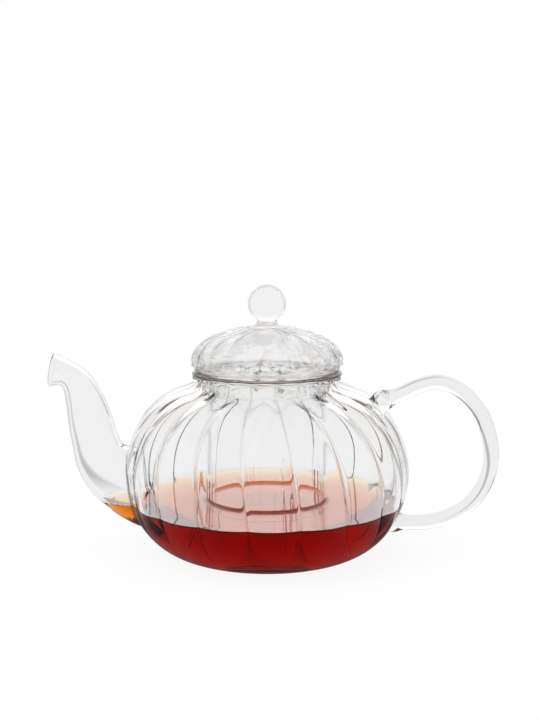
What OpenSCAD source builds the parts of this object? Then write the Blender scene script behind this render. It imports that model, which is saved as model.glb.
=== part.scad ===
// Ribbed glass teapot: a blown bowl with a flame-fused spout and handle, a drop-in
// infuser that hangs in the neck, and a ribbed lid that seats on the infuser.
// Origin: centre of the flat foot. +Z up, spout towards -X, handle towards +X.

/* [Bowl] */
// Radius of the belly over the rib crests
belly_r = 75.3; // [65:0.1:90]
// Height of the widest point of the belly
belly_z = 44; // [38:0.5:55]
// Radius of the flat foot that the pot stands on
foot_r = 40; // [30:0.5:50]
// Thickness of the blown glass wall
wall = 2; // [1.5:0.1:3]
// Rise of the rib crests from the belly to the neck
crest_rise = 46.5; // [40:0.1:60]
// How far the rib valleys dip below the crests at the neck
valley_dip = 5.3; // [2:0.1:8]
// Depth of the rib valleys at the belly
belly_rib_depth = 2.1; // [0.5:0.1:3]
// Height at which the ribs have faded into the smooth base
rib_fade_z = 6; // [2:0.5:20]
// Number of ribs round the bowl
bowl_ribs = 18; // [10:1:30]
// Twist of the ribs from the rim down to the foot, in degrees
rib_twist = 8.7; // [0:0.1:20]
// Angle of the first rib valley at the rim, in degrees
rib_start = -103; // [-180:1:180]

/* [Neck and rim] */
// Clearance between the infuser tube and the neck bore, each side
neck_clearance = 0.8; // [0.4:0.1:2]
// Thickness of the neck wall in the rib valleys
neck_wall = 1.6; // [1.2:0.1:3]
// Depth of the rib valleys on the neck
neck_rib_depth = 1.6; // [0.4:0.1:2.5]
// Height of the flat top of the rim
rim_z = 95.2; // [93.5:0.1:110]
// Height of the flared lip below the flat top
lip_height = 2.1; // [1.2:0.1:3]
// How far the lip flares out from the neck
lip_flare = 2.4; // [0.5:0.1:4]

/* [Infuser] */
// Outer radius of the infuser tube
tube_r = 32.9; // [26:0.1:36]
// Thickness of the infuser glass
tube_wall = 1.6; // [1.2:0.1:2.5]
// Height of the underside of the infuser above the table
tube_bottom_z = 10; // [5:0.5:30]
// Rounding of the bottom edge of the infuser
tube_round = 5; // [3:0.5:8]
// Outer radius of the flange that hangs on the rim
flange_r = 39.4; // [38.5:0.1:42]
// Thickness of the flange
flange_thick = 1.3; // [1.2:0.1:3]
// Width of each slit
slit_w = 0.9; // [0.5:0.1:1.5]
// Height of the slits
slit_height = 24; // [10:0.5:40]
// Height of the lower end of the slits above the underside of the infuser
slit_lift = 6.5; // [6:0.5:15]
// Number of groups of slits round the tube
slit_groups = 4; // [2:1:5]
// Number of slits in a group
slits_per_group = 4; // [3:1:8]
// Angle from one slit to the next in a group, in degrees
slit_pitch = 7.5; // [5:0.5:8]
// Angle of the first slit, in degrees
slit_start = -83.5; // [-180:0.5:180]

/* [Lid] */
// Radius of the lid dome over its rib crests
dome_r = 40; // [39:0.1:42]
// Height of the dome from its widest point to its top
dome_rise = 17.8; // [12:0.1:30]
// Height from the dome's edge to its widest point
dome_skirt = 4.6; // [2:0.1:8]
// How far the dome draws in from its widest point to its edge
dome_draw_in = 1.5; // [0.5:0.1:3]
// Thickness of the dome glass
dome_wall = 1.9; // [1.4:0.1:3]
// Number of ribs on the dome
dome_ribs = 20; // [10:1:30]
// Depth of the rib valleys on the dome
dome_rib_depth = 1.3; // [0.4:0.1:2]
// Twist of the dome's ribs from the edge to the stem, in degrees
dome_twist = -12; // [-30:1:30]
// Clearance between the lid's sleeve and the inside of the infuser, each side
sleeve_clearance = 0.9; // [0.4:0.1:2]
// Thickness of the sleeve glass
sleeve_wall = 1.5; // [1.2:0.1:2.5]
// How far the sleeve reaches down into the infuser
sleeve_depth = 11.3; // [6:0.1:30]
// Thickness of the sleeve's flange, which carries the dome
sleeve_flange = 1.8; // [1.2:0.1:3]

/* [Knob] */
// Radius of the knob ball
knob_r = 10; // [7:0.1:14]
// Radius of the stem under the ball
stem_r = 5.2; // [3.5:0.1:7]
// Radius of the stem's foot on the dome
stem_foot_r = 9; // [6:0.1:10]
// Length of the stem from the dome's top to the ball
stem_length = 3; // [1.5:0.1:8]

/* [Spout] */
// How far the spout's tip stands out beyond the belly
spout_overhang = 38.1; // [30:0.1:50]
// Height of the centre of the spout's mouth
spout_tip_z = 97.6; // [90:0.1:110]
// Outer radius of the spout where it leaves the bowl
spout_root_r = 19.6; // [17:0.1:22]
// Outer radius half-way up the spout
spout_mid_r = 12.4; // [10:0.1:15]
// Outer radius of the narrow throat behind the lip
spout_throat_r = 7.4; // [6:0.1:9]
// Outer radius of the flared lip
spout_lip_r = 9.2; // [7:0.1:10.5]
// Thickness of the spout glass
spout_wall = 1.8; // [1.2:0.1:2.5]

/* [Handle] */
// Radius of the handle rod
handle_rod_r = 4.1; // [3:0.1:6]
// How far the middle of the handle rod stands out beyond the belly
handle_overhang = 44; // [36:0.1:60]
// Height of the top of the handle's centre line
handle_top_z = 90.9; // [86:0.1:96]
// Height of the lowest stretch of the handle's centre line
handle_low_z = 14.6; // [11:0.1:20]
// Radius of the beads of glass that fuse the handle to the bowl
bead_r = 5.8; // [5:0.1:8]

/* [Tea] */
// Height of the tea's surface
tea_z = 28.5; // [20:0.5:42]
// Gap left between the tea and the glass round it
tea_gap = 0.4; // [0.2:0.1:1]

/* [Hidden] */
$fn = 96;

// Overlaps that join one stretch of a profile to the next
shoulder_overlap = 1.2;
eps = 0.01;
// How far a cutter runs past the surface that it opens
past = 1;

neck_bore_r = tube_r + neck_clearance;
neck_valley_r = neck_bore_r + neck_wall;
neck_crest_r = neck_valley_r + neck_rib_depth;
shoulder_axis_r = neck_valley_r - shoulder_overlap;
lip_z = rim_z - lip_height;
flange_top_z = rim_z + flange_thick;
dome_edge_z = flange_top_z + sleeve_flange;
dome_belly_z = dome_edge_z + dome_skirt;
dome_top_z = dome_belly_z + dome_rise;
knob_z = dome_top_z + stem_length + sqrt(knob_r * knob_r - stem_r * stem_r);
sleeve_r = tube_r - tube_wall - sleeve_clearance;

// Facets between two rib valleys, and rings up each quarter of a profile
facets_per_rib = 4;
bowl_rings = 8;
dome_rings = 8;
tea_rings = 14;
// Where the bowl's shoulder and the dome's top stop, as angles up their quarter ellipses
shoulder_end = 84;
dome_end = 82;
// Share of a flare or draw-in that is reached half-way along it
round_share = 0.8;
spout_sides = 28;
handle_sides = 16;

// 1 along a rib's valley, 0 along its crest
function valley(ribs, angle) = 1 - abs(cos(ribs * angle / 2 - 90));

function smooth(t) = let (c = min(max(t, 0), 1)) c * c * (3 - 2 * c);

// Outer surface of the bowl, or the same surface set in by the given thickness
function bowl_angle(i, count, z) = rib_start + i * 360 / count + rib_twist * (rim_z - z) / rim_z;

function bowl_ring(radius_of, height_of, z_mean, count) = [
    for (i = [0 : count - 1])
        let (v = valley(bowl_ribs, i * 360 / count), a = bowl_angle(i, count, z_mean))
            [radius_of(v) * cos(a), radius_of(v) * sin(a), height_of(v)]
];

function lower_ring(t, inset, count) =
    let (
        z = inset + (belly_z - inset) * (1 - cos(t)),
        r = foot_r + (belly_r - inset - foot_r) * sin(t),
        depth = belly_rib_depth * smooth((z - rib_fade_z) / (belly_z - rib_fade_z))
    )
    bowl_ring(function (v) r - depth * v, function (v) z, z, count);

function upper_ring(t, inset, count) =
    let (
        axis_r = shoulder_axis_r - inset,
        z_mean = belly_z + (crest_rise - valley_dip / 2) * sin(t)
    )
    bowl_ring(
        function (v) axis_r + (belly_r - belly_rib_depth * v - shoulder_axis_r) * cos(t),
        function (v) belly_z + (crest_rise - inset - valley_dip * v) * sin(t),
        z_mean, count
    );

function neck_ring(extra_r, z, count) =
    bowl_ring(function (v) neck_crest_r + extra_r - neck_rib_depth * v, function (v) z, z, count);

function quarter(rings, last = 90) = [for (k = [0 : rings]) last * k / rings];

// Closed solid from a stack of rings with equal numbers of points, bottom ring first
module ring_stack(rings) {
    count = len(rings[0]);
    last = len(rings) - 1;
    points = [for (r = rings) each r];
    sides = [
        for (k = [0 : last - 1], i = [0 : count - 1])
            let (j = (i + 1) % count, a = k * count, b = a + count)
                each [[a + i, b + i, b + j], [a + i, b + j, a + j]]
    ];
    floor_face = [for (i = [0 : count - 1]) i];
    top_face = [for (i = [count - 1 : -1 : 0]) last * count + i];
    polyhedron(points, concat([floor_face, top_face], sides), convexity = 8);
}

module bowl_outside() {
    count = bowl_ribs * facets_per_rib;
    ring_stack(concat(
        [for (t = quarter(bowl_rings)) lower_ring(t, 0, count)],
        [for (t = quarter(bowl_rings, shoulder_end)) if (t > 0) upper_ring(t, 0, count)],
        [
            neck_ring(0, lip_z - 0.2, count),
            neck_ring(lip_flare * round_share, lip_z + 0.2, count),
            neck_ring(lip_flare, lip_z + lip_height / 2, count),
            neck_ring(lip_flare * round_share, rim_z, count)
        ]
    ));
}

module bowl_inside() {
    count = bowl_ribs * facets_per_rib;
    top = bowl_ring(function (v) neck_bore_r - past, function (v) rim_z + past, rim_z, count);
    ring_stack(concat(
        [for (t = quarter(bowl_rings)) lower_ring(t, wall, count)],
        [for (t = quarter(bowl_rings, shoulder_end)) if (t > 0) upper_ring(t, wall, count)],
        [top]
    ));
}

// A smooth curve through hand-picked stations of [x, z, radius]
function spline(p, k, t) =
    let (a = p[max(k - 1, 0)], b = p[k], c = p[k + 1], d = p[min(k + 2, len(p) - 1)])
    (2 * b + (c - a) * t + (2 * a - 5 * b + 4 * c - d) * t * t + (3 * b - a - 3 * c + d) * t * t * t) / 2;

function curve(stations, steps) = concat(
    [for (k = [0 : len(stations) - 2], s = [0 : steps - 1]) spline(stations, k, s / steps)],
    [stations[len(stations) - 1]]
);

// Round rod along a curve in the XZ plane
module swept_rod(path, sides) {
    last = len(path) - 1;
    rings = [
        for (k = [0 : last])
            let (
                d = path[min(k + 1, last)] - path[max(k - 1, 0)],
                size = norm([d.x, d.y]),
                out = [-d.y, d.x] / size,
                c = path[k]
            )
            [for (i = [0 : sides - 1]) let (a = -360 * i / sides, r = c.z)
                [c.x + out.x * r * cos(a), r * sin(a), c.y + out.y * r * cos(a)]]
    ];
    ring_stack(rings);
}

module along_z(z) {
    translate([0, 0, z]) children();
}

// Profile of a straight cup with a rounded bottom edge
module cup_profile(r, z0, z1, edge) {
    translate([0, z0]) square([r - edge, z1 - z0]);
    translate([0, z0 + edge]) square([r, z1 - z0 - edge]);
    translate([r - edge, z0 + edge]) circle(edge);
}

function mix(a, b, t) = a + (b - a) * t;

// Spout: centre line from its root in the bowl's wall to the mouth
spout_root_depth = 6;
spout_root_drop = 7.8;
spout_root = [spout_root_depth - belly_r, belly_z - spout_root_drop];
spout_span = [-belly_r - spout_overhang, spout_tip_z] - spout_root;

function spout_station(across, up, r) =
    [spout_root.x + across * spout_span.x, spout_root.y + up * spout_span.y, r];

spout_stations = [
    spout_station(-0.4, -0.16, 0.9 * spout_root_r),
    spout_station(-0.2, -0.08, spout_root_r),
    spout_station(0, 0, spout_root_r),
    spout_station(0.108, 0.041, mix(spout_root_r, spout_mid_r, 0.1)),
    spout_station(0.283, 0.109, mix(spout_root_r, spout_mid_r, 0.42)),
    spout_station(0.426, 0.228, mix(spout_root_r, spout_mid_r, 0.79)),
    spout_station(0.499, 0.392, spout_mid_r),
    spout_station(0.553, 0.568, mix(spout_mid_r, spout_throat_r, 0.14)),
    spout_station(0.61, 0.735, mix(spout_mid_r, spout_throat_r, 0.46)),
    spout_station(0.7, 0.888, mix(spout_mid_r, spout_throat_r, 0.84)),
    spout_station(0.84, 0.972, spout_throat_r),
    spout_station(1, 1, spout_lip_r)
];

// The spout's curve with its radius set in by the given thickness
module spout_solid(inset, overrun = 0) {
    path = curve(spout_stations, 3);
    last = path[len(path) - 1];
    before = path[len(path) - 2];
    step = (last - before) / norm([last.x - before.x, last.y - before.y]);
    full = overrun > 0 ? concat(path, [last + step * overrun]) : path;
    swept_rod([for (p = full) [p.x, p.y, p.z - inset]], spout_sides);
}

// Handle: centre line of the rod, from the upper root round to the lower root
handle_root_depth = 14.3;
handle_root_x = belly_r - handle_root_depth;
handle_span = [handle_overhang + handle_root_depth, handle_top_z - handle_low_z];

function handle_station(across, up) =
    [handle_root_x + across * handle_span.x, handle_low_z + up * handle_span.y, handle_rod_r];

handle_stations = [
    handle_station(-0.12, 0.82), handle_station(0, 0.868), handle_station(0.16, 0.917),
    handle_station(0.335, 0.978), handle_station(0.515, 1), handle_station(0.7, 0.942),
    handle_station(0.85, 0.83), handle_station(0.95, 0.687), handle_station(1, 0.505),
    handle_station(0.985, 0.36), handle_station(0.918, 0.233), handle_station(0.808, 0.13),
    handle_station(0.645, 0.05), handle_station(0.457, 0.007), handle_station(0.275, 0),
    handle_station(0.12, 0.006), handle_station(-0.03, 0.012)
];

module handle_rod() {
    swept_rod(curve(handle_stations, 3), handle_sides);
}

module pot_bowl() {
    color([0.93, 0.95, 0.95, 0.35])
    difference() {
        bowl_outside();
        bowl_inside();
        along_z(mix(belly_z, rim_z, 0.5)) cylinder(h = rim_z, r = neck_bore_r);
        spout_solid(spout_wall);
    }
}

module spout() {
    color([0.93, 0.95, 0.95, 0.35])
    difference() {
        spout_solid(0);
        spout_solid(spout_wall, overrun = past);
        bowl_outside();
    }
}

module handle() {
    color([0.85, 0.88, 0.87, 0.5])
    difference() {
        handle_rod();
        bowl_outside();
    }
}

// Bead of glass fused round one end of the handle rod
module bead(station) {
    color([0.85, 0.88, 0.87, 0.5])
    difference() {
        translate([station.x, 0, station.y]) sphere(bead_r);
        handle_rod();
        bowl_outside();
    }
}

module handle_bead_upper() {
    bead(handle_stations[1]);
}

module handle_bead_lower() {
    bead(handle_stations[15]);
}

module infuser() {
    color([0.93, 0.95, 0.95, 0.35])
    difference() {
        rotate_extrude() {
            cup_profile(tube_r, tube_bottom_z, flange_top_z, tube_round);
            translate([0, rim_z]) square([flange_r - flange_thick / 2, flange_thick]);
            translate([flange_r - flange_thick / 2, rim_z + flange_thick / 2]) circle(flange_thick / 2);
        }
        rotate_extrude()
            cup_profile(
                tube_r - tube_wall, tube_bottom_z + tube_wall, flange_top_z + past,
                tube_round - tube_wall
            );
        for (g = [0 : slit_groups - 1], s = [0 : slits_per_group - 1])
            rotate([0, 0, slit_start + g * 360 / slit_groups + s * slit_pitch])
            translate([tube_r - tube_wall - past, -slit_w / 2, tube_bottom_z + slit_lift])
                cube([tube_wall + 2 * past, slit_w, slit_height]);
    }
}

module lid_sleeve() {
    color([0.93, 0.95, 0.95, 0.35])
    along_z(flange_top_z)
    difference() {
        union() {
            cylinder(h = sleeve_flange, r = dome_r - dome_draw_in - dome_rib_depth);
            along_z(-sleeve_depth) cylinder(h = sleeve_depth + eps, r = sleeve_r);
        }
        along_z(-sleeve_depth - past)
            cylinder(h = sleeve_depth + sleeve_flange + 2 * past, r = sleeve_r - sleeve_wall);
    }
}

// One ring of the dome: its radius and height at the rib crests
function dome_ring(r, z, count) = [
    for (i = [0 : count - 1])
        let (
            v = valley(dome_ribs, i * 360 / count),
            depth = dome_rib_depth * smooth((r - stem_foot_r) / (dome_r - stem_foot_r) * 2),
            up = (z - dome_edge_z) / (dome_top_z - dome_edge_z),
            a = rib_start + i * 360 / count + dome_twist * up,
            in = r * (1 - depth * v / dome_r)
        )
        [in * cos(a), in * sin(a), z - (z > dome_belly_z ? depth * v * (z - dome_belly_z) / dome_rise : 0)]
];

// Outer surface of the dome, or the same surface set in by the given thickness
module dome_solid(inset) {
    count = dome_ribs * facets_per_rib;
    edge_r = dome_r - dome_draw_in;
    ring_stack(concat(
        inset > 0 ? [dome_ring(edge_r - inset, dome_edge_z - past, count)] : [],
        [dome_ring(edge_r - inset, dome_edge_z, count)],
        [dome_ring(edge_r - inset + dome_draw_in * round_share, mix(dome_edge_z, dome_belly_z, 0.5), count)],
        [
            for (t = quarter(dome_rings, dome_end))
                dome_ring((dome_r - inset) * cos(t), dome_belly_z + (dome_rise - inset) * sin(t), count)
        ]
    ));
}

module lid_dome() {
    color([0.93, 0.95, 0.95, 0.35])
    difference() {
        dome_solid(0);
        dome_solid(dome_wall);
    }
}

module lid_stem() {
    fillet = stem_foot_r - stem_r;
    // Starts below the dome's ribs, which trim it
    start_z = dome_top_z - dome_rib_depth;
    color([0.93, 0.95, 0.95, 0.35])
    difference() {
        rotate_extrude()
            difference() {
                translate([0, start_z]) square([stem_foot_r, knob_z - start_z]);
                translate([stem_foot_r, dome_top_z + fillet]) circle(fillet);
                translate([stem_r, dome_top_z + fillet]) square([fillet + past, knob_z]);
            }
        dome_solid(0);
        along_z(knob_z) sphere(knob_r);
    }
}

module lid_knob() {
    color([0.93, 0.95, 0.95, 0.5])
    along_z(knob_z) sphere(knob_r);
}

// Profile of the tea inside the bowl, clear of the glass at the rib valleys
function tea_point(z) =
    let (
        inset = wall + tea_gap,
        t = acos(1 - (z - inset) / (belly_z - inset)),
        depth = belly_rib_depth * smooth((z - rib_fade_z) / (belly_z - rib_fade_z))
    )
    [foot_r + (belly_r - inset - foot_r) * sin(t) - depth, z];

module tea() {
    floor_z = wall + tea_gap;
    color([0.55, 0.05, 0.1])
    difference() {
        union() {
            rotate_extrude()
                polygon(concat(
                    [[0, tea_z], [0, floor_z]],
                    [for (t = quarter(tea_rings)) tea_point(mix(floor_z, tea_z, 1 - cos(t)))]
                ));
            intersection() {
                spout_solid(spout_wall + tea_gap);
                translate([-2 * belly_r, -belly_r, 0]) cube([2 * belly_r, 2 * belly_r, tea_z]);
            }
        }
        along_z(tube_bottom_z - tea_gap) cylinder(h = tea_z, r = tube_r + tea_gap);
    }
}

module tea_core() {
    inset = tube_wall + tea_gap;
    color([0.55, 0.05, 0.1])
    rotate_extrude()
        cup_profile(tube_r - inset, tube_bottom_z + inset, tea_z, tube_round - inset);
}

pot_bowl();
spout();
handle();
handle_bead_upper();
handle_bead_lower();
infuser();
lid_sleeve();
lid_dome();
lid_stem();
lid_knob();
tea();
tea_core();
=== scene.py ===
import math

import bmesh
import bpy
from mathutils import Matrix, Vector, noise


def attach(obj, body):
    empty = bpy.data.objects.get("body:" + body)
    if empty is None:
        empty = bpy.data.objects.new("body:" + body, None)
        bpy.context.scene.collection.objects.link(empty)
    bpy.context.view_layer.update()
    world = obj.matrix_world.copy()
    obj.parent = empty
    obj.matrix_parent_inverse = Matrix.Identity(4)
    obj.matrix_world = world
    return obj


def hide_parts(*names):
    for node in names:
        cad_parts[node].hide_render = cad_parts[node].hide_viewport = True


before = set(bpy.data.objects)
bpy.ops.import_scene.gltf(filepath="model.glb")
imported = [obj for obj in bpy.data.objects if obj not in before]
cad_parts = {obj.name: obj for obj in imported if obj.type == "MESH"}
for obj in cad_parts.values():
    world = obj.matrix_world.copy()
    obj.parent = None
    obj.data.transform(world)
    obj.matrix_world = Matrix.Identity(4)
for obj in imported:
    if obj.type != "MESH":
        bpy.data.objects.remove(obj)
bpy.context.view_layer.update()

MM = 0.001


# ---- Camera ----
# A normal lens at table height looks a little down on the pot from the side, with the
# spout on the left and the handle on the right.

camera_data = bpy.data.cameras.new("camera")
camera_data.lens = 60.9
camera_data.sensor_width = 36
camera_data.shift_x = 0.0042
camera_data.shift_y = 0.072
camera = bpy.data.objects.new("camera", camera_data)
bpy.context.scene.collection.objects.link(camera)
camera.location = (0, -633.6 * MM, 192.9 * MM)
look_at = Vector((0, 0, 75 * MM))
camera.rotation_mode = "QUATERNION"
camera.rotation_quaternion = (look_at - camera.location).to_track_quat("-Z", "Y")
bpy.context.scene.camera = camera
bpy.context.scene.view_settings.view_transform = "Standard"

# Light crosses up to a dozen walls of glass on its way through the pot.
bpy.context.scene.cycles.max_bounces = 40
bpy.context.scene.cycles.transmission_bounces = 40
bpy.context.scene.cycles.glossy_bounces = 12


# ---- Table and studio light ----
# A white table under a white ceiling and a ring of four soft boxes. Between the boxes the
# studio is dim, and that is what draws the dark lines along the edges of clear glass.

def new_material(name):
    made = bpy.data.materials.new(name)
    made.use_nodes = True
    made.node_tree.nodes.clear()
    output = made.node_tree.nodes.new("ShaderNodeOutputMaterial")
    return made, made.node_tree.nodes, made.node_tree.links, output


def maths(nodes, links, operation, first, second=None, third=None):
    """One Math node; each input is a socket or a number."""
    node = nodes.new("ShaderNodeMath")
    node.operation = operation
    for socket, value in zip(node.inputs, (first, second, third)):
        if value is None:
            continue
        if isinstance(value, (int, float)):
            socket.default_value = value
        else:
            links.new(value, socket)
    return node.outputs[0]


def seen_directly(nodes, links):
    """1 for rays that show the studio itself: from the camera, off gloss or through glass."""
    path = nodes.new("ShaderNodeLightPath")
    seen = maths(nodes, links, "MAXIMUM", path.outputs["Is Camera Ray"], path.outputs["Is Glossy Ray"])
    return maths(nodes, links, "MAXIMUM", seen, path.outputs["Is Transmission Ray"])


def ramp(nodes, links, value, from_range, to_range):
    """Takes a value smoothly from one range to another."""
    node = nodes.new("ShaderNodeMapRange")
    node.interpolation_type = "SMOOTHSTEP"
    node.inputs["From Min"].default_value, node.inputs["From Max"].default_value = from_range
    node.inputs["To Min"].default_value, node.inputs["To Max"].default_value = to_range
    links.new(value, node.inputs["Value"])
    return node.outputs["Result"]


def box_light(nodes, links, place, dimmest, widest):
    """1 towards the four soft boxes and dimmest in the gaps between, and how high the place is.
    A gap is the wider the nearer widest is to 1."""
    split = nodes.new("ShaderNodeSeparateXYZ")
    links.new(place, split.inputs[0])
    x2 = maths(nodes, links, "MULTIPLY", split.outputs["X"], split.outputs["X"])
    y2 = maths(nodes, links, "MULTIPLY", split.outputs["Y"], split.outputs["Y"])
    flat2 = maths(nodes, links, "ADD", maths(nodes, links, "ADD", x2, y2), 1e-4)
    cos2 = maths(nodes, links, "DIVIDE", maths(nodes, links, "SUBTRACT", x2, y2), flat2)
    cos4 = maths(nodes, links, "MULTIPLY_ADD", maths(nodes, links, "MULTIPLY", cos2, cos2), 2, -1)
    return ramp(nodes, links, cos4, (-1.0, widest), (dimmest, 1.0)), split.outputs["Z"]


# How bright the white studio looks through glass and in gloss
seen_through = 0.86

world = bpy.data.worlds.new("studio")
bpy.context.scene.world = world
world.use_nodes = True
nodes, links = world.node_tree.nodes, world.node_tree.links
nodes.clear()
place = nodes.new("ShaderNodeTexCoord").outputs["Generated"]
boxes, height = box_light(nodes, links, place, 0.3, -0.5)
overhead = ramp(nodes, links, height, (0.4, 0.7), (0, 1))
lifted = ramp(nodes, links, height, (0.03, 0.32), (seen_through, 1.15))
ring_of_boxes = maths(nodes, links, "MULTIPLY", maths(nodes, links, "MAXIMUM", boxes, overhead), lifted)
# A dim ring lies between the boxes and the ceiling.
ceiling = maths(
    nodes, links, "MAXIMUM", ramp(nodes, links, height, (0.68, 0.84), (1, 0.5)),
    ramp(nodes, links, height, (0.92, 0.98), (0, 1))
)
ring_of_boxes = maths(nodes, links, "MULTIPLY", ring_of_boxes, ceiling)
path = nodes.new("ShaderNodeLightPath")
through = maths(
    nodes, links, "MAXIMUM", path.outputs["Is Glossy Ray"], path.outputs["Is Transmission Ray"]
)
studio = nodes.new("ShaderNodeBackground")
studio.inputs["Color"].default_value = (1, 1, 1, 1)
links.new(ring_of_boxes, studio.inputs["Strength"])
plain = nodes.new("ShaderNodeBackground")
plain.inputs["Color"].default_value = (1, 1, 1, 1)
pick = nodes.new("ShaderNodeMixShader")
links.new(through, pick.inputs["Fac"])
links.new(plain.outputs[0], pick.inputs[1])
links.new(studio.outputs[0], pick.inputs[2])
links.new(pick.outputs[0], nodes.new("ShaderNodeOutputWorld").inputs["Surface"])

lamp_data = bpy.data.lights.new("soft_box_over_left", "AREA")
lamp_data.shape = "RECTANGLE"
lamp_data.size = 0.5
lamp_data.size_y = 0.9
lamp_data.energy = 3.0
lamp = bpy.data.objects.new("soft_box_over_left", lamp_data)
bpy.context.scene.collection.objects.link(lamp)
lamp.visible_transmission = False
lamp.location = (-0.75, -0.55, 0.95)
lamp.rotation_mode = "QUATERNION"
lamp.rotation_quaternion = (Vector((0, 0, 0.05)) - lamp.location).to_track_quat("-Z", "Y")

table_mesh = bpy.data.meshes.new("table")
reach = 6.0
table_mesh.from_pydata([(-reach, -reach, 0), (reach, -reach, 0), (reach, reach, 0), (-reach, reach, 0)],
                       [], [(0, 1, 2, 3)])
table = bpy.data.objects.new("table", table_mesh)
bpy.context.scene.collection.objects.link(table)
table.location.z = -0.2 * MM
white, nodes, links, output = new_material("white_table")
paint = nodes.new("ShaderNodeBsdfDiffuse")
paint.inputs["Color"].default_value = (1, 1, 1, 1)
glow = nodes.new("ShaderNodeEmission")
path = nodes.new("ShaderNodeLightPath")
# Right beside the pot the table is darker in gloss, as it lies in the pot's own shade, and
# further out it is dimmer where it lies between the boxes.
place = nodes.new("ShaderNodeTexCoord").outputs["Object"]
distance = nodes.new("ShaderNodeVectorMath")
distance.operation = "LENGTH"
links.new(place, distance.inputs[0])
distance = distance.outputs["Value"]
boxes = box_light(nodes, links, place, 0.5, -0.82)[0]
boxes = maths(nodes, links, "MAXIMUM", boxes, ramp(nodes, links, distance, (0.12, 0.25), (1, 0)))
around = ramp(nodes, links, distance, (0.085, 0.125), (0.1, seen_through))
through = maths(nodes, links, "MULTIPLY", path.outputs["Is Transmission Ray"], seen_through)
strength = maths(nodes, links, "MULTIPLY", maths(nodes, links, "MAXIMUM", through, around), boxes)
strength = maths(nodes, links, "MAXIMUM", path.outputs["Is Camera Ray"], strength)
links.new(strength, glow.inputs["Strength"])
show = maths(nodes, links, "MULTIPLY", seen_directly(nodes, links), 0.9)
mix = nodes.new("ShaderNodeMixShader")
links.new(show, mix.inputs["Fac"])
links.new(paint.outputs[0], mix.inputs[1])
links.new(glow.outputs[0], mix.inputs[2])
links.new(mix.outputs[0], output.inputs["Surface"])
table_mesh.materials.append(white)


# ---- Bowl ----
# The bowl is blown from borosilicate glass in a ribbed mould, so its wall swells into
# eighteen soft lobes with a fine crease between them. The creases fade into a smooth base,
# and the neck ends in a rolled, fire-polished rim.

belly_r = 75.3 * MM
belly_z = 44 * MM
foot_r = 40 * MM
wall = 2 * MM
base_wall = 1.1 * MM
crest_rise = 46.5 * MM
valley_dip = 5.3 * MM
belly_crease = 2.1 * MM
smooth_below_z = 6 * MM
ribs = 18
rib_start = math.radians(-103)
rib_twist = math.radians(8.7)
neck_valley_r = 35.3 * MM
neck_crest_r = 36.9 * MM
shoulder_axis_r = 34.1 * MM
rim_z = 95.2 * MM
lip_height = 2.1 * MM
lip_flare = 2.4 * MM
lip_scallop = 1.3 * MM
neck_sag = 1.0 * MM
neck_wall = 1.7 * MM
# The inner face follows the outer one, but the glass has flowed round in its creases.
crease_round = 0.2
# The tea stands this high, and it climbs a little where it wets the glass.
tea_z = 28.5 * MM
wet_z = tea_z + 1.2 * MM
groove_depth = 0.5 * MM
groove_spread = 0.07
# The underside of the foot is pushed in a little: radius and height, in millimetres.
foot_rings = ((0.5, 0.7), (18, 0.55), (33, 0.1))
floor_radii = (30, 15, 0.5)
# Edges sharper than this stay crisp.
cut_edge = math.radians(50)
glass_index = 1.47
wet_index = 1.105


def glass(name, tint=(0.985, 0.992, 0.99, 1), wave=0.02, wave_scale=60.0, index=glass_index, body=1.0):
    """Clear glass with the faint waves and colour drift of blown work. The index is lower on a
    face that tea wets, where light bends less, and a body below 1 lets some light straight
    through."""
    made, nodes, links, output = new_material(name)
    shader = nodes.new("ShaderNodeBsdfPrincipled")
    shader.inputs["Roughness"].default_value = 0.0
    shader.inputs["IOR"].default_value = index
    shader.inputs["Transmission Weight"].default_value = 1.0
    shader.inputs["Specular Tint"].default_value = (0.2, 0.2, 0.2, 1)
    shader.inputs["Alpha"].default_value = body
    place = nodes.new("ShaderNodeTexCoord").outputs["Object"]
    drift = nodes.new("ShaderNodeTexNoise")
    drift.inputs["Scale"].default_value = 18.0
    drift.inputs["Detail"].default_value = 2.0
    links.new(place, drift.inputs["Vector"])
    shade = nodes.new("ShaderNodeMix")
    shade.data_type = "RGBA"
    shade.inputs["A"].default_value = tint
    shade.inputs["B"].default_value = (1, 1, 1, 1)
    links.new(drift.outputs["Fac"], shade.inputs["Factor"])
    links.new(shade.outputs["Result"], shader.inputs["Base Color"])
    waves = nodes.new("ShaderNodeTexNoise")
    waves.inputs["Scale"].default_value = wave_scale
    waves.inputs["Detail"].default_value = 1.0
    links.new(place, waves.inputs["Vector"])
    bump = nodes.new("ShaderNodeBump")
    bump.inputs["Strength"].default_value = wave
    bump.inputs["Distance"].default_value = 0.002
    links.new(waves.outputs["Fac"], bump.inputs["Height"])
    links.new(bump.outputs["Normal"], shader.inputs["Normal"])
    links.new(shader.outputs[0], output.inputs["Surface"])
    return made


def skin(name, rings, loop=False):
    """A closed, smooth mesh from equal rings: capped at both ends, or joined end to start."""
    count = len(rings[0])
    last = len(rings) - 1
    faces = [] if loop else [tuple(reversed(range(count)))]
    for k in range(len(rings) if loop else last):
        low, high = k * count, (k + 1) % len(rings) * count
        for i in range(count):
            j = (i + 1) % count
            faces.append((low + i, low + j, high + j, high + i))
    if not loop:
        faces.append(tuple(range(last * count, last * count + count)))
    mesh = bpy.data.meshes.new(name)
    mesh.from_pydata([point for ring in rings for point in ring], [], faces)
    mesh.shade_smooth()
    made = bpy.data.objects.new(name, mesh)
    bpy.context.scene.collection.objects.link(made)
    return made


def finish_piece(piece, material, body, slot, *nodes):
    """Gives a piece its material and ties it to the body that carries it."""
    piece.data.materials.clear()
    piece.data.materials.append(material)
    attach(piece, body)
    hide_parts(*nodes)


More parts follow.
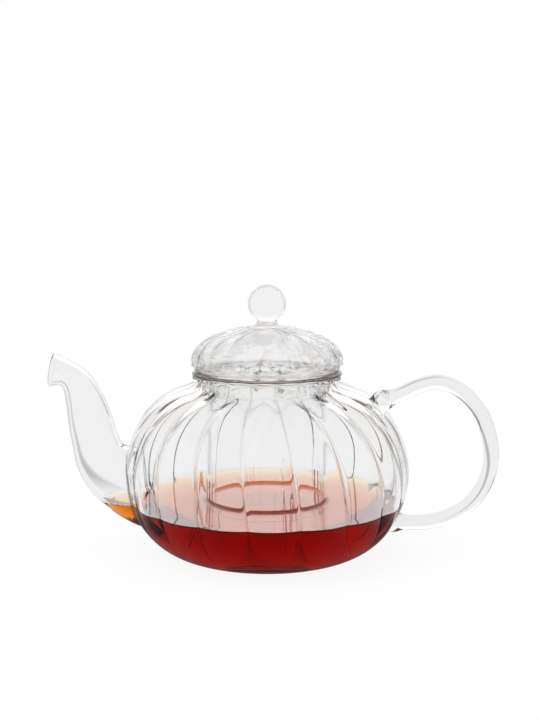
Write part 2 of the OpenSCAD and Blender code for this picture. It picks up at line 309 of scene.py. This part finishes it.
def cut(piece, cutter):
    """Cuts a mesh with another and removes the other."""
    modifier = piece.modifiers.new("cut", "BOOLEAN")
    modifier.operation = "DIFFERENCE"
    modifier.object = cutter
    modifier.solver = "EXACT"
    graph = bpy.context.evaluated_depsgraph_get()
    mesh = bpy.data.meshes.new_from_object(piece.evaluated_get(graph))
    piece.modifiers.clear()
    piece.data = mesh
    bpy.data.objects.remove(cutter)
    mesh.shade_smooth()
    mesh.set_sharp_from_angle(angle=cut_edge)


def smooth_step(t):
    t = min(max(t, 0.0), 1.0)
    return t * t * (3 - 2 * t)


def steps(first, last, count):
    return [first + (last - first) * k / count for k in range(count + 1)]


# Where each point of a ring lies within its rib, from one crease to the next. The points
# crowd towards the crease, which keeps it fine.
points_per_rib = 28
crowd = 0.85
places = [
    i / points_per_rib - crowd * math.sin(math.tau * i / points_per_rib) / math.tau
    for i in range(points_per_rib)
]


def crease(place):
    """1 in the crease between two ribs and 0 on a rib's crest."""
    return 1 - abs(math.sin(math.pi * place))


def soft_crease(place):
    """The same on the inside of the wall, where the crease is rounded."""
    side = math.sin(math.pi * place)
    return 1 + crease_round / 5 - math.sqrt(side * side + crease_round * crease_round)


def groove(place, depth=groove_depth):
    """Depth of the fine fold at the bottom of a crease."""
    return depth * math.exp(-math.sin(math.pi * place) / groove_spread)


def bowl_ring(profile, z_mean, depth_of=crease, fold=(0, 0)):
    """One ring of the bowl. The profile gives radius and height from the depth in the crease,
    and fold is the direction in which the fold is pressed in, outwards and upwards."""
    turn = rib_start + rib_twist * (rim_z - z_mean) / rim_z
    ring = []
    for rib in range(ribs):
        for place in places:
            radius, height = profile(depth_of(place))
            radius -= fold[0] * groove(place)
            height -= fold[1] * groove(place)
            angle = turn + (rib + place) * math.tau / ribs
            ring.append((radius * math.cos(angle), radius * math.sin(angle), height))
    return ring


def base_ring(t, inset=0.0, lift=0.0, depth_of=crease):
    """A ring of the lower half; t runs from 0 at the foot to a quarter turn at the belly."""
    z = lift + (belly_z - lift) * (1 - math.cos(t))
    r = foot_r + (belly_r - inset - foot_r) * math.sin(t)
    fade = smooth_step((z - smooth_below_z) / (belly_z - smooth_below_z))
    fold = (fade, 0) if depth_of is crease else (0, 0)
    return bowl_ring(lambda v: (r - belly_crease * fade * v, z), z, depth_of, fold)


def wall_turn(z):
    """The turn at which the inner face of the lower half reaches a height."""
    return math.acos(1 - (z - base_wall) / (belly_z - base_wall))


def shoulder_point(t, v):
    """The outer profile above the belly; it sags a little on the crests before the neck."""
    r = shoulder_axis_r + (belly_r - belly_crease * v - shoulder_axis_r) * math.cos(t)
    sag = neck_sag * (1 - v) * smooth_step((t - 0.6) / 0.8)
    return r, belly_z + (crest_rise - valley_dip * v) * math.sin(t) - sag


def curl(t, first, middle, last):
    """A point on a smooth bend from first to last."""
    return tuple(
        (1 - t) ** 2 * a + 2 * t * (1 - t) * b + t * t * c for a, b, c in zip(first, middle, last)
    )


quarter_turn = math.pi / 2
shoulder_end = math.radians(77)


def neck_radius(v):
    return neck_crest_r + (neck_valley_r - neck_crest_r) * v


def lip_low(v):
    return rim_z - lip_height + lip_scallop * v


def upper_point(u, v):
    """The outer profile from the belly, at 0, over the shoulder, at 1, to the lip, at 2."""
    if u <= 1:
        return shoulder_point(u * shoulder_end, v)
    r, z = shoulder_point(shoulder_end, v)
    r0, z0 = shoulder_point(shoulder_end - 0.01, v)
    neck_r, top = neck_radius(v), lip_low(v) - 0.2 * MM
    bend_z = z + (z - z0) / (r - r0) * (neck_r - r)
    bend_end = min(bend_z + 0.8 * (r - neck_r), top - 0.1 * MM)
    if u < 1.75:
        return curl((u - 1) / 0.75, (r, z), (neck_r, bend_z), (neck_r, bend_end))
    return neck_r, bend_end + (top - bend_end) * (u - 1.75) * 4


def facing(u, v):
    """The way that the outer profile faces, as radius and height."""
    r0, z0 = upper_point(max(u - 0.004, 0), v)
    r1, z1 = upper_point(min(u + 0.004, 2), v)
    length = math.hypot(r1 - r0, z1 - z0)
    return (z1 - z0) / length, (r0 - r1) / length


def inner_point(u, v):
    """The wall's inner face, which keeps the same distance from the outer one."""
    r, z = upper_point(u, v)
    out_r, out_z = facing(u, v)
    thick = wall + (neck_wall - wall) * smooth_step(u - 0.8)
    return r - out_r * thick, z - out_z * thick


def upper_ring(u, point, depth_of=crease):
    z_mean = upper_point(u, 0.5)[1]
    fold = facing(u, 1) if depth_of is crease else (0, 0)
    return bowl_ring(lambda v: point(u, v), z_mean, depth_of, fold)


def lip_point(turn, v):
    half = (lip_height - lip_scallop * v) / 2
    r = neck_radius(v) + lip_flare - half + half * math.cos(turn)
    return r, rim_z - half + half * math.sin(turn)


rings = [bowl_ring(lambda v, r=r, z=z: (r * MM, z * MM), 0) for r, z in foot_rings]
rings += [base_ring(t) for t in steps(0, quarter_turn, 30)]
heights = steps(0, 1, 34) + steps(1, 2, 20)[1:]
rings += [upper_ring(u, upper_point) for u in heights[1:]]
rings += [
    bowl_ring(lambda v, t=t: lip_point(t, v), rim_z)
    for t in steps(-quarter_turn, quarter_turn, 8)
]
rings += [
    bowl_ring(
        lambda v, r=r, z=z: (neck_radius(v) - neck_wall + r * MM, rim_z + z * MM), rim_z, soft_crease
    )
    for r, z in ((0.9, 0), (0.25, -0.25), (0, -0.9))
]
rings += [upper_ring(u, inner_point, soft_crease) for u in heights[::-1]]
rings += [
    base_ring(t, wall, base_wall, soft_crease)
    for t in sorted(steps(0, quarter_turn, 30)[:-1] + [wall_turn(wet_z)], reverse=True)
]
rings += [bowl_ring(lambda v, r=r: (r * MM, base_wall), 0) for r in floor_radii]
bowl = skin("bowl", rings)


# ---- Spout ----
# The spout is a tube drawn out and bent in the flame. Its wide foot is fused over a hole in
# the bowl, and its mouth is cut at a slant and flared into a small round lip.

spout_overhang = 38.1 * MM
spout_tip_z = 97.6 * MM
spout_root = Vector((6 * MM - belly_r, 0, belly_z - 7.8 * MM))
spout_wall = 1.8 * MM
root_r, middle_r, narrow_r, flare_r = 19.6 * MM, 12.4 * MM, 7.4 * MM, 9.2 * MM
# The foot is sunk this far into the bowl's face.
spout_sink = 0.5 * MM


def between(a, b, t):
    return a + (b - a) * t


def spout_station(across, up, r):
    return (
        between(spout_root.x, -belly_r - spout_overhang, across),
        between(spout_root.z, spout_tip_z, up),
        r,
    )


spout_stations = [
    spout_station(-0.4, -0.16, 0.9 * root_r),
    spout_station(-0.2, -0.08, root_r),
    spout_station(0, 0, root_r),
    spout_station(0.108, 0.041, between(root_r, middle_r, 0.1)),
    spout_station(0.283, 0.109, between(root_r, middle_r, 0.42)),
    spout_station(0.426, 0.228, between(root_r, middle_r, 0.79)),
    spout_station(0.499, 0.392, middle_r),
    spout_station(0.553, 0.568, between(middle_r, narrow_r, 0.14)),
    spout_station(0.61, 0.735, between(middle_r, narrow_r, 0.46)),
    spout_station(0.7, 0.888, between(middle_r, narrow_r, 0.84)),
    spout_station(0.84, 0.972, narrow_r),
    spout_station(1, 1, flare_r),
]


def along(stations, u):
    """A point of the smooth curve through the stations, with u from 0 to 1."""
    u = min(max(u, 0.0), 1.0) * (len(stations) - 1)
    k = min(int(u), len(stations) - 2)
    t = u - k
    a, b, c, d = (stations[min(max(k + n, 0), len(stations) - 1)] for n in (-1, 0, 1, 2))
    return tuple(
        (2 * q + (r - p) * t + (2 * p - 5 * q + 4 * r - s) * t * t
         + (3 * q - p - 3 * r + s) * t ** 3) / 2
        for p, q, r, s in zip(a, b, c, d)
    )


def side_point(stations, u, angle, inset=0.0):
    """A point on the side of a bent tube, at an angle round it."""
    x, z, r = along(stations, u)
    x0, z0, _ = along(stations, u - 0.004)
    x1, z1, _ = along(stations, u + 0.004)
    ahead = Vector((x1 - x0, 0, z1 - z0)).normalized()
    out = Vector((-ahead.z, 0, ahead.x))
    r -= inset
    return Vector((x, 0, z)) + out * r * math.cos(angle) - Vector((0, r * math.sin(angle), 0))


def bowl_radius(z, angle):
    """How far the bowl's outer face stands from the axis at a height and an angle."""
    turn = rib_start + rib_twist * (rim_z - z) / rim_z
    place = (angle - turn) / math.tau * ribs % 1
    v = crease(place)
    if z < belly_z:
        drop = min(max(1 - z / belly_z, 0.0), 1.0)
        depth = belly_crease * smooth_step((z - smooth_below_z) / (belly_z - smooth_below_z))
        return foot_r + (belly_r - foot_r) * math.sqrt(1 - drop * drop) - depth * v
    rise = min((z - belly_z) / (crest_rise - valley_dip * v), 1.0)
    return shoulder_axis_r + (belly_r - belly_crease * v - shoulder_axis_r) * math.sqrt(1 - rise * rise)


def leaves_bowl(point_at, from_u, to_u, inset):
    """Where a line from inside the bowl comes out through its face, set in by inset."""
    for _ in range(24):
        u = (from_u + to_u) / 2
        p = point_at(u)
        inside_bowl = math.hypot(p.x, p.y) < bowl_radius(p.z, math.atan2(p.y, p.x)) - inset
        from_u, to_u = (u, to_u) if inside_bowl else (from_u, u)
    return from_u


def fitted_side(stations, angle, inset, root_inset, last_u, count):
    """Points along one side of a bent tube, from the bowl's face to last_u."""
    def point_at(u):
        return side_point(stations, u, angle, inset)
    first = leaves_bowl(point_at, 0.0, 0.55, root_inset)
    return [tuple(point_at(u)) for u in steps(first, last_u, count)]


def turned(columns):
    """Rings from the columns of points along each side."""
    return [list(ring) for ring in zip(*columns)]


spout_sides = 64
spout_angles = [math.tau * i / spout_sides for i in range(spout_sides)]
lip_u = 0.985
outer = turned([fitted_side(spout_stations, a, 0, spout_sink, lip_u, 70) for a in spout_angles])
inner = turned([fitted_side(spout_stations, a, spout_wall, spout_sink, lip_u, 70) for a in spout_angles])
(x0, z0, _), (x1, z1, _) = along(spout_stations, 0.97), along(spout_stations, 1)
mouth = Vector((x1 - x0, 0, z1 - z0)).normalized()
lip = [
    [
        tuple(side_point(spout_stations, lip_u, a, spout_wall / 2 * (1 - math.cos(b)))
              + mouth * spout_wall / 2 * math.sin(b))
        for a in spout_angles
    ]
    for b in steps(0, math.pi, 6)[1:-1]
]
spout = skin("spout", outer + lip + inner[::-1], loop=True)

bore = skin("spout_bore", [
    [tuple(side_point(spout_stations, u, a, spout_wall)) for a in spout_angles]
    for u in steps(0.0, 0.4, 30)
])
cut(bowl, bore)
clear_glass = glass("blown_glass")
wet_glass = glass("wet_blown_glass", index=wet_index)
finish_piece(bowl, clear_glass, "pot", "bowl_glass", "pot_bowl")
finish_piece(spout, clear_glass, "pot", "spout_glass", "spout")

# The faces inside the bowl and the spout that the tea stands against
belly_centre = Vector((0, 0, belly_z))
bowl.data.materials.append(wet_glass)
for face in bowl.data.polygons:
    if face.center.z < wet_z and face.normal.dot(face.center - belly_centre) < 0:
        face.material_index = 1
spout.data.materials.append(wet_glass)
first_inner = (len(outer) + len(lip) - 1) * spout_sides
for face in spout.data.polygons[first_inner:]:
    if face.center.z < tea_z:
        face.material_index = 1


# ---- Handle ----
# The handle is a solid glass rod bent into a loop. Each end is fused to the bowl with a
# bead of extra glass that has sagged a little while it was soft.

handle_rod_r = 4.05 * MM
handle_overhang = 44 * MM
handle_top_z = 90.9 * MM
handle_low_z = 14.6 * MM
handle_root_x = belly_r - 14.3 * MM
handle_sink = 0.6 * MM
# How far the beads swell, how long and how uneven they are, and where the lower one is
bead_swell = 1.7 * MM
bead_reach = 4.2 * MM
bead_sag = 0.35
lower_bead = (67.5 * MM, 15.1 * MM)


def handle_station(across, up):
    return (
        between(handle_root_x, belly_r + handle_overhang, across),
        between(handle_low_z, handle_top_z, up),
        handle_rod_r,
    )


handle_stations = [
    handle_station(*place)
    for place in (
        (-0.12, 0.82), (0, 0.868), (0.16, 0.917), (0.335, 0.978), (0.515, 1), (0.7, 0.942),
        (0.85, 0.83), (0.95, 0.687), (1, 0.505), (0.985, 0.36), (0.918, 0.233), (0.808, 0.13),
        (0.645, 0.05), (0.457, 0.007), (0.275, 0), (0.12, 0.006), (-0.03, 0.012),
    )
]
handle_sides = 32
handle_rings = 150


def handle_side(angle):
    """Points along one side of the rod, swollen into a bead at both ends."""
    def point_at(u):
        x, z, _ = along(handle_stations, u)
        upper = Vector((x - handle_stations[1][0], z - handle_stations[1][1])).length
        lower = Vector((x - lower_bead[0], z - lower_bead[1])).length
        swell = sum(math.exp(-(gap / bead_reach) ** 2) for gap in (upper, lower))
        sag = noise.noise(Vector((x * 300, math.cos(angle), z * 300 + math.sin(angle))))
        return side_point(handle_stations, u, angle, -bead_swell * swell * (1 + bead_sag * sag))
    first = leaves_bowl(point_at, 0.0, 0.2, handle_sink)
    last = leaves_bowl(lambda u: point_at(1 - u), 0.0, 0.2, handle_sink)
    return [tuple(point_at(u)) for u in steps(first, 1 - last, handle_rings)]


handle_angles = [math.tau * i / handle_sides for i in range(handle_sides)]
handle = skin("handle", turned([handle_side(angle) for angle in handle_angles]))
rod_glass = glass("rod_glass", tint=(0.93, 0.955, 0.945, 1), wave=0.04, wave_scale=90.0)
finish_piece(
    handle, rod_glass, "pot", "handle_glass", "handle", "handle_bead_upper", "handle_bead_lower"
)


# ---- Infuser ----
# The infuser is a straight glass tube with a closed floor. Its flange is rolled out to hang
# on the pot's rim, and groups of fine slits are sawn through its wall.

tube_r = 32.9 * MM
tube_wall = 1.6 * MM
tube_bottom_z = 10 * MM
tube_round = 5 * MM
flange_r = 39.4 * MM
flange_thick = 1.3 * MM
flange_top_z = rim_z + flange_thick
slit_w = 0.9 * MM
slit_height = 24 * MM
slit_lift = 6.5 * MM
slit_groups = 4
slits_per_group = 4
slit_pitch = math.radians(7.5)
slit_start = math.radians(-83.5)
tube_edge = 0.9 * MM
turned_sides = 192


def turned_ring(r, z):
    turns = [math.tau * i / turned_sides for i in range(turned_sides)]
    return [(r * math.cos(turn), r * math.sin(turn), z) for turn in turns]


def softened(outline, radius, closed=False):
    """An outline of (radius, height) points with each corner rounded."""
    rounded = []
    count = len(outline)
    for k, corner in enumerate(outline):
        if not closed and k in (0, count - 1):
            rounded.append(corner)
            continue
        here = Vector(corner)
        before = Vector(outline[k - 1]) - here
        after = Vector(outline[(k + 1) % count]) - here
        reach = min(radius, before.length / 2.1, after.length / 2.1)
        first = here + before.normalized() * reach
        last = here + after.normalized() * reach
        rounded += [curl(t, first, here, last) for t in steps(0, 1, 6)]
    return rounded


outline = (
    [(0.5 * MM, tube_bottom_z)]
    + [
        (
            tube_r - tube_round + tube_round * math.sin(t),
            tube_bottom_z + tube_round - tube_round * math.cos(t),
        )
        for t in steps(0, quarter_turn, 8)
    ]
    + softened([
        (tube_r, tube_bottom_z + tube_round),
        (tube_r, wet_z),
        (tube_r, rim_z),
        (flange_r, rim_z),
        (flange_r, flange_top_z),
        (tube_r - tube_wall, flange_top_z),
        (tube_r - tube_wall, wet_z),
        (tube_r - tube_wall, tube_bottom_z + tube_round),
    ], tube_edge)[1:]
    + [
        (
            tube_r - tube_round + (tube_round - tube_wall) * math.sin(t),
            tube_bottom_z + tube_round - (tube_round - tube_wall) * math.cos(t),
        )
        for t in steps(quarter_turn, 0, 8)[1:]
    ]
    + [(0.5 * MM, tube_bottom_z + tube_wall)]
)
infuser = skin("infuser", [turned_ring(r, z) for r, z in outline])

# The six faces of a block, from its four lower and four upper corners
block_faces = ((3, 2, 1, 0), (4, 5, 6, 7), (0, 1, 5, 4), (1, 2, 6, 5), (2, 3, 7, 6), (3, 0, 4, 7))
slit_points, slit_faces = [], []
for group in range(slit_groups):
    for slit in range(slits_per_group):
        angle = slit_start + group * math.tau / slit_groups + slit * slit_pitch
        ahead = Vector((math.cos(angle), math.sin(angle), 0))
        aside = Vector((-math.sin(angle), math.cos(angle), 0)) * slit_w / 2
        low = Vector((0, 0, tube_bottom_z + slit_lift))
        high = low + Vector((0, 0, slit_height))
        first = len(slit_points)
        for level in (low, high):
            for r, side in ((-3, -1), (2, -1), (2, 1), (-3, 1)):
                slit_points.append(tuple(level + ahead * (tube_r + r * MM) + aside * side))
        slit_faces += [
            tuple(first + n for n in face)
            for face in block_faces
        ]
slit_mesh = bpy.data.meshes.new("slits")
slit_mesh.from_pydata(slit_points, [], slit_faces)
slits = bpy.data.objects.new("slits", slit_mesh)
bpy.context.scene.collection.objects.link(slits)
cut(infuser, slits)
tube_glass = glass("tube_glass", wave=0.006, wave_scale=40.0)
finish_piece(infuser, tube_glass, "infuser", "infuser_glass", "infuser")
infuser.data.materials.append(glass("wet_tube_glass", wave=0.006, wave_scale=40.0, index=wet_index))
for face in infuser.data.polygons:
    if face.center.z < wet_z:
        face.material_index = 1


# ---- Lid ----
# The lid is a blown, ribbed dome. A sleeve of plain tube with a flat flange is fused under
# it and stands inside the infuser, and a solid ball on a short stem is fused on top. Fused
# glass has no seam that light could show, so the four make one mesh.

dome_r = 40 * MM
dome_rise = 17.8 * MM
dome_skirt = 4.6 * MM
dome_wall = 1.9 * MM
dome_ribs = 20
dome_crease = 0.9 * MM
dome_twist = math.radians(-12)
sleeve_r = 30.4 * MM
sleeve_wall = 1.5 * MM
sleeve_depth = 11.3 * MM
sleeve_flange = 1.8 * MM
knob_r = 10 * MM
stem_r = 5.2 * MM
stem_foot_r = 9 * MM
stem_length = 3 * MM
dome_edge_z = flange_top_z + sleeve_flange
dome_belly_z = dome_edge_z + dome_skirt
dome_top_z = dome_belly_z + dome_rise
knob_z = dome_top_z + stem_length + math.sqrt(knob_r ** 2 - stem_r ** 2)
collar_r = 38.2 * MM
inside_round = 2.4 * MM
sleeve_edge = 0.7 * MM
# The scallops under the lobes: their height above the edge, how far they rise at a crease,
# and how softly they end
scallop_low = 1.3 * MM
scallop_rise = 2.2 * MM
scallop_soft = 1.2 * MM


def dome_ring(r, z, depth_of=crease):
    """One ring of the lid, from its radius and height on the crests of the dome."""
    up = (z - dome_edge_z) / (dome_top_z - dome_edge_z)
    depth = dome_crease * smooth_step(2 * (r - stem_foot_r) / (dome_r - stem_foot_r))
    fall = min(max(z - dome_belly_z, 0) / dome_rise, 1)
    ring = []
    for rib in range(dome_ribs):
        for place in places:
            v = depth * depth_of(place)
            angle = rib_start + (rib + place) * math.tau / dome_ribs + dome_twist * up
            near = r * (1 - v / dome_r)
            ring.append((near * math.cos(angle), near * math.sin(angle), z - v * fall))
    return ring


def round_ring(r, z):
    """A smooth ring of the lid, below the ribs or on the knob."""
    return [(r * x / math.hypot(x, y), r * y / math.hypot(x, y), z) for x, y, _ in dome_ring(dome_r, z)]


def skirt_ring(z):
    """A ring below the dome's widest point, where each lobe ends in a soft scallop."""
    ring = []
    for (x, y, _), place in zip(dome_ring(dome_r, z), places * dome_ribs):
        reach = math.hypot(x, y)
        lobe = smooth_step((z - dome_edge_z - scallop_low - scallop_rise * crease(place)) / scallop_soft)
        r = collar_r + (reach - collar_r) * lobe
        ring.append((r * x / reach, r * y / reach, z))
    return ring


inner_r, inner_rise = dome_r - dome_wall, dome_rise - dome_wall
sleeve_low_z = flange_top_z - sleeve_depth
rings = [dome_ring(0.5 * MM, dome_belly_z + inner_rise, soft_crease)]
rings += [
    dome_ring(inner_r * math.cos(t), dome_belly_z + inner_rise * math.sin(t), soft_crease)
    for t in steps(math.radians(86), 0, 30)
]
rings += [
    round_ring(r, z) for r, z in softened([
        (inner_r - 0.3 * MM, dome_belly_z - 1.0 * MM),
        (collar_r - dome_wall, dome_edge_z + 1.0 * MM),
        (collar_r - dome_wall, dome_edge_z),
        (sleeve_r - sleeve_wall, dome_edge_z),
        (sleeve_r - sleeve_wall, flange_top_z - 3 * MM),
    ], inside_round) + softened([
        (sleeve_r - sleeve_wall, flange_top_z - 3.5 * MM),
        (sleeve_r - sleeve_wall, sleeve_low_z),
        (sleeve_r, sleeve_low_z),
        (sleeve_r, flange_top_z),
        (collar_r, flange_top_z),
        (collar_r, dome_edge_z),
        (collar_r - 0.4 * MM, dome_edge_z + 0.3 * MM),
        (collar_r, dome_edge_z + 0.7 * MM),
    ], sleeve_edge)
]
rings += [skirt_ring(dome_edge_z + height * MM) for height in steps(1.0, 4.4, 22)]
rings += [
    dome_ring(dome_r * math.cos(t), dome_belly_z + dome_rise * math.sin(t))
    for t in steps(0, math.acos(stem_foot_r / dome_r), 32)
]

# The stem and the ball are solid and fused on top.
stem_foot_z = rings[-1][0][2]
stem_top_z = knob_z - math.sqrt(knob_r ** 2 - stem_r ** 2)
stem_bend = (stem_r, dome_top_z + 0.3 * MM)
rings += [
    round_ring(*curl(t, (stem_foot_r, stem_foot_z), stem_bend, (stem_r, stem_top_z)))
    for t in steps(0, 1, 12)[1:]
]
rings += [
    round_ring(knob_r * math.cos(t), knob_z + knob_r * math.sin(t))
    for t in steps(-math.acos(stem_r / knob_r), math.radians(88), 44)[1:]
]
lid = skin("lid", rings)
# Many close walls of glass would draw hard dark lines, so the lid bends light only a little.
dome_glass = glass("dome_glass", wave=0.03, wave_scale=80.0, index=1.16, body=0.7)
finish_piece(lid, dome_glass, "lid", "dome_glass", "lid_sleeve", "lid_dome", "lid_stem", "lid_knob")


# ---- Tea ----
# Red tea stands in the bowl, in the foot of the spout and inside the infuser, all at one
# level. It climbs a little where it meets glass.

into_glass = 0.25 * MM
climb = 2.2 * MM
climb_reach = 2.4 * MM
water_index = 1.33
# The sheet of the open surface lies this far above the tea.
sheet_gap = 0.02 * MM


def tea_face(name, index, film=0.0):
    """A clear face of the tea. The film is the thin skin of oils on the open surface, which
    shines more than water."""
    made, nodes, links, output = new_material(name)
    shader = nodes.new("ShaderNodeBsdfPrincipled")
    shader.inputs["Coat Weight"].default_value = film
    shader.inputs["Coat Roughness"].default_value = 0.03
    shader.inputs["Base Color"].default_value = (1, 1, 1, 1)
    shader.inputs["Roughness"].default_value = 0.0
    shader.inputs["IOR"].default_value = index
    shader.inputs["Transmission Weight"].default_value = 1.0
    ripples = nodes.new("ShaderNodeTexNoise")
    ripples.inputs["Scale"].default_value = 30.0
    links.new(nodes.new("ShaderNodeTexCoord").outputs["Object"], ripples.inputs["Vector"])
    bump = nodes.new("ShaderNodeBump")
    bump.inputs["Strength"].default_value = 0.01
    bump.inputs["Distance"].default_value = 0.002
    links.new(ripples.outputs["Fac"], bump.inputs["Height"])
    links.new(bump.outputs["Normal"], shader.inputs["Normal"])
    links.new(shader.outputs[0], output.inputs["Surface"])
    return made, nodes, links, output


def tea_ring(t, gap=0.0):
    """A ring of the tea's side, just inside the glass that it wets, or a gap away from it."""
    z = base_wall + (belly_z - base_wall) * (1 - math.cos(t))
    r = foot_r + (belly_r - wall - foot_r) * math.sin(t) + into_glass - gap
    depth = belly_crease * smooth_step((z - smooth_below_z) / (belly_z - smooth_below_z))
    return bowl_ring(lambda v: (r - depth * v, z), z, soft_crease)


def climbed(gap):
    """How high the surface stands where it is this far from glass; upright at the glass."""
    away = min(max(gap / climb_reach, 0.0), 1.0)
    return climb * (1 - math.sqrt(away * (2 - away)))


def tea_top(r, edge_ring):
    """A ring of the surface, round at the infuser, where it climbs, and lobed at the edge."""
    edge = max(math.hypot(x, y) for x, y, _ in edge_ring)
    lobed = smooth_step((r - 45 * MM) / (edge - 45 * MM))
    z = tea_z + climbed(max(r - tube_r + into_glass, tube_r - tube_wall + into_glass - r))
    ring = []
    for x, y, _ in edge_ring:
        reach = math.hypot(x, y)
        near = r * (1 - lobed + lobed * reach / edge)
        ring.append((near * x / reach, near * y / reach, z))
    return ring


rings = [
    bowl_ring(lambda v, r=r: (r * MM, base_wall - into_glass), 0, soft_crease)
    for r in floor_radii[::-1]
]
rings += [tea_ring(t) for t in steps(math.radians(3), wall_turn(tea_z + climb), 26)]
gaps = [climb_reach * (1 - math.cos(t)) for t in steps(0, quarter_turn, 8)[1:]]
gaps = sorted([into_glass] + gaps)
rings += [tea_ring(wall_turn(tea_z + climbed(gap)), gap) for gap in gaps]
surface_radii = (
    [62 * MM, 52 * MM, 43 * MM]
    + [tube_r - into_glass + gap for gap in gaps[::-1]]
    + [tube_r - tube_wall / 2]
    + [tube_r - tube_wall + into_glass - gap for gap in gaps]
    + [24 * MM, 15 * MM, 0.5 * MM]
)
tea_edge = rings[-1]
rings += [tea_top(r, tea_edge) for r in surface_radii]
tea = skin("tea", rings)
tea.data.set_sharp_from_angle(angle=cut_edge)

spout_tea = skin("tea_in_spout", turned([
    fitted_side(spout_stations, a, spout_wall - into_glass, wall + 0.6 * MM, 0.6, 40)
    for a in spout_angles
]))
above = bpy.data.meshes.new("above_the_tea")
size = 2 * belly_r
above.from_pydata(
    [
        (x, y, z) for z in (tea_z, 2 * size)
        for x, y in ((-size, -size), (0, -size), (0, size), (-size, size))
    ],
    [], block_faces,
)
above = bpy.data.objects.new("above_the_tea", above)
bpy.context.scene.collection.objects.link(above)
cut(spout_tea, above)

# Where tea stands against glass, the glass's own wet face bends the light, so the body of the
# tea has an index of 1. It only gives the colour, which deepens with the way through it.
red_tea, nodes, links, output = tea_face("red_tea", index=1.0)
colour = nodes.new("ShaderNodeVolumeAbsorption")
colour.inputs["Color"].default_value = (0.92, 0.60, 0.0, 1)
colour.inputs["Density"].default_value = 150.0
links.new(colour.outputs[0], output.inputs["Volume"])
finish_piece(tea, red_tea, "pot", "tea", "tea", "tea_core")
finish_piece(spout_tea, red_tea, "pot", "tea")

# The open surface is a sheet that lies on the tea and has the index of water.
tea_surface = tea_face("tea_surface", index=water_index, film=1.0)[0]
for piece in (tea, spout_tea):
    shape = bmesh.new()
    shape.from_mesh(piece.data)
    under = [
        face for face in shape.faces
        if face.normal.z < 0.3 or not tea_z - 0.1 * MM < face.calc_center_median().z < wet_z
    ]
    bmesh.ops.delete(shape, geom=under, context="FACES")
    bmesh.ops.translate(shape, verts=shape.verts, vec=(0, 0, sheet_gap))
    mesh = bpy.data.meshes.new("surface_of_" + piece.name)
    shape.to_mesh(mesh)
    shape.free()
    sheet = bpy.data.objects.new("surface_of_" + piece.name, mesh)
    bpy.context.scene.collection.objects.link(sheet)
    finish_piece(sheet, tea_surface, "pot", "tea")
